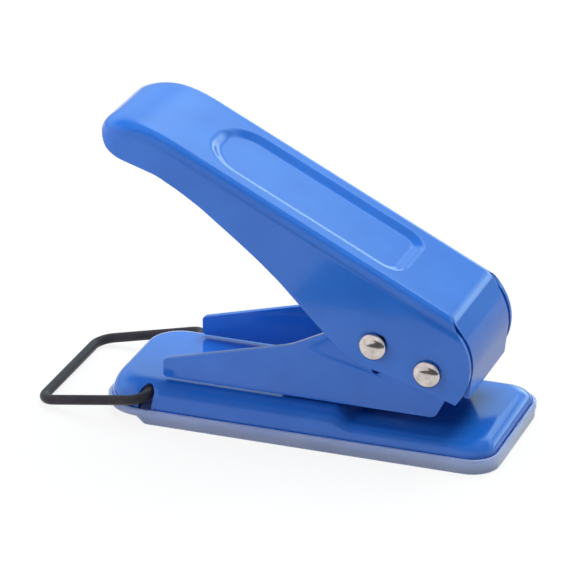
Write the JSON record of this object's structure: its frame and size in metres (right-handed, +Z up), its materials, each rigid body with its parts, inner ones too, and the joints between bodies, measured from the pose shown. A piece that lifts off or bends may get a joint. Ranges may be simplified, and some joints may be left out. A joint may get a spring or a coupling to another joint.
{
  "type": "single hole punch",
  "caption": "Lever-operated paper punch: stamped base in a chip tray, channel frame, sprung punch, long pressed handle and a wire bail that locks it shut.",
  "frame": {"origin": "middle of the chip tray's underside, on the surface the punch stands on", "axes": "+X towards the nose and the paper mouth, +Y to the far side, +Z up; the grip and the wire bail are on the -X side"},
  "size_m": [0.1188, 0.0462, 0.0766],
  "materials": {
    "blue_enamel": "gloss blue stoving enamel on pressed steel",
    "nickel_plate": "polished nickel plate on domed rivet heads",
    "hardened_steel": "ground hardened steel",
    "black_wire": "satin black lacquer on round spring wire",
    "clear_plastic": "translucent bluish-white moulded plastic",
    "zinc_plate": "bright zinc plate on small steel parts"
  },
  "bodies": {
    "base": {"base_plate": "blue_enamel", "frame": "blue_enamel", "die_plate": "hardened_steel", "die_rivet_1": "zinc_plate", "die_rivet_2": "zinc_plate", "frame_rivet_1": "zinc_plate", "frame_rivet_2": "zinc_plate", "punch_guide": "hardened_steel", "pivot_pin": "nickel_plate", "pivot_sleeve": "zinc_plate", "pivot_washer_near": "zinc_plate", "pivot_washer_far": "zinc_plate", "return_spring": "zinc_plate"},
    "handle": {"handle": "blue_enamel"},
    "punch": {"punch": "hardened_steel", "punch_pin": "nickel_plate", "punch_pin_sleeve_near": "zinc_plate", "punch_pin_sleeve_far": "zinc_plate", "punch_pin_washer_near": "zinc_plate", "punch_pin_washer_far": "zinc_plate", "spring_washer": "zinc_plate"},
    "lock_wire": {"lock_wire": "black_wire"},
    "chad_tray": {"chad_tray": "clear_plastic"}
  },
  "joints": [
    {"name": "handle_hinge", "type": "hinge", "parent": "base", "child": "handle", "pos_m": [0.03315, 0, 0.02298], "axis": [0, -1, 0], "range_deg": [0, 38], "stiffness_Nm_per_rad": 0.25, "springref_deg": -28.65},
    {"name": "punch_slide", "type": "slide", "parent": "base", "child": "punch", "axis": [0, 0, -1], "range_m": [0, 0.0072], "deforming": ["return_spring"]},
    {"name": "wire_hinge", "type": "hinge", "parent": "base", "child": "lock_wire", "pos_m": [-0.0383, 0, 0.0069], "axis": [0, 1, 0], "range_deg": [0, 115]},
    {"name": "tray_slide", "type": "slide", "parent": "base", "child": "chad_tray", "axis": [0, 0, -1], "range_m": [0, 0.012]}
  ],
  "couplings": [
    {"joint": "punch_slide", "follows": "handle_hinge", "m_per_rad": 0.010855}
  ]
}
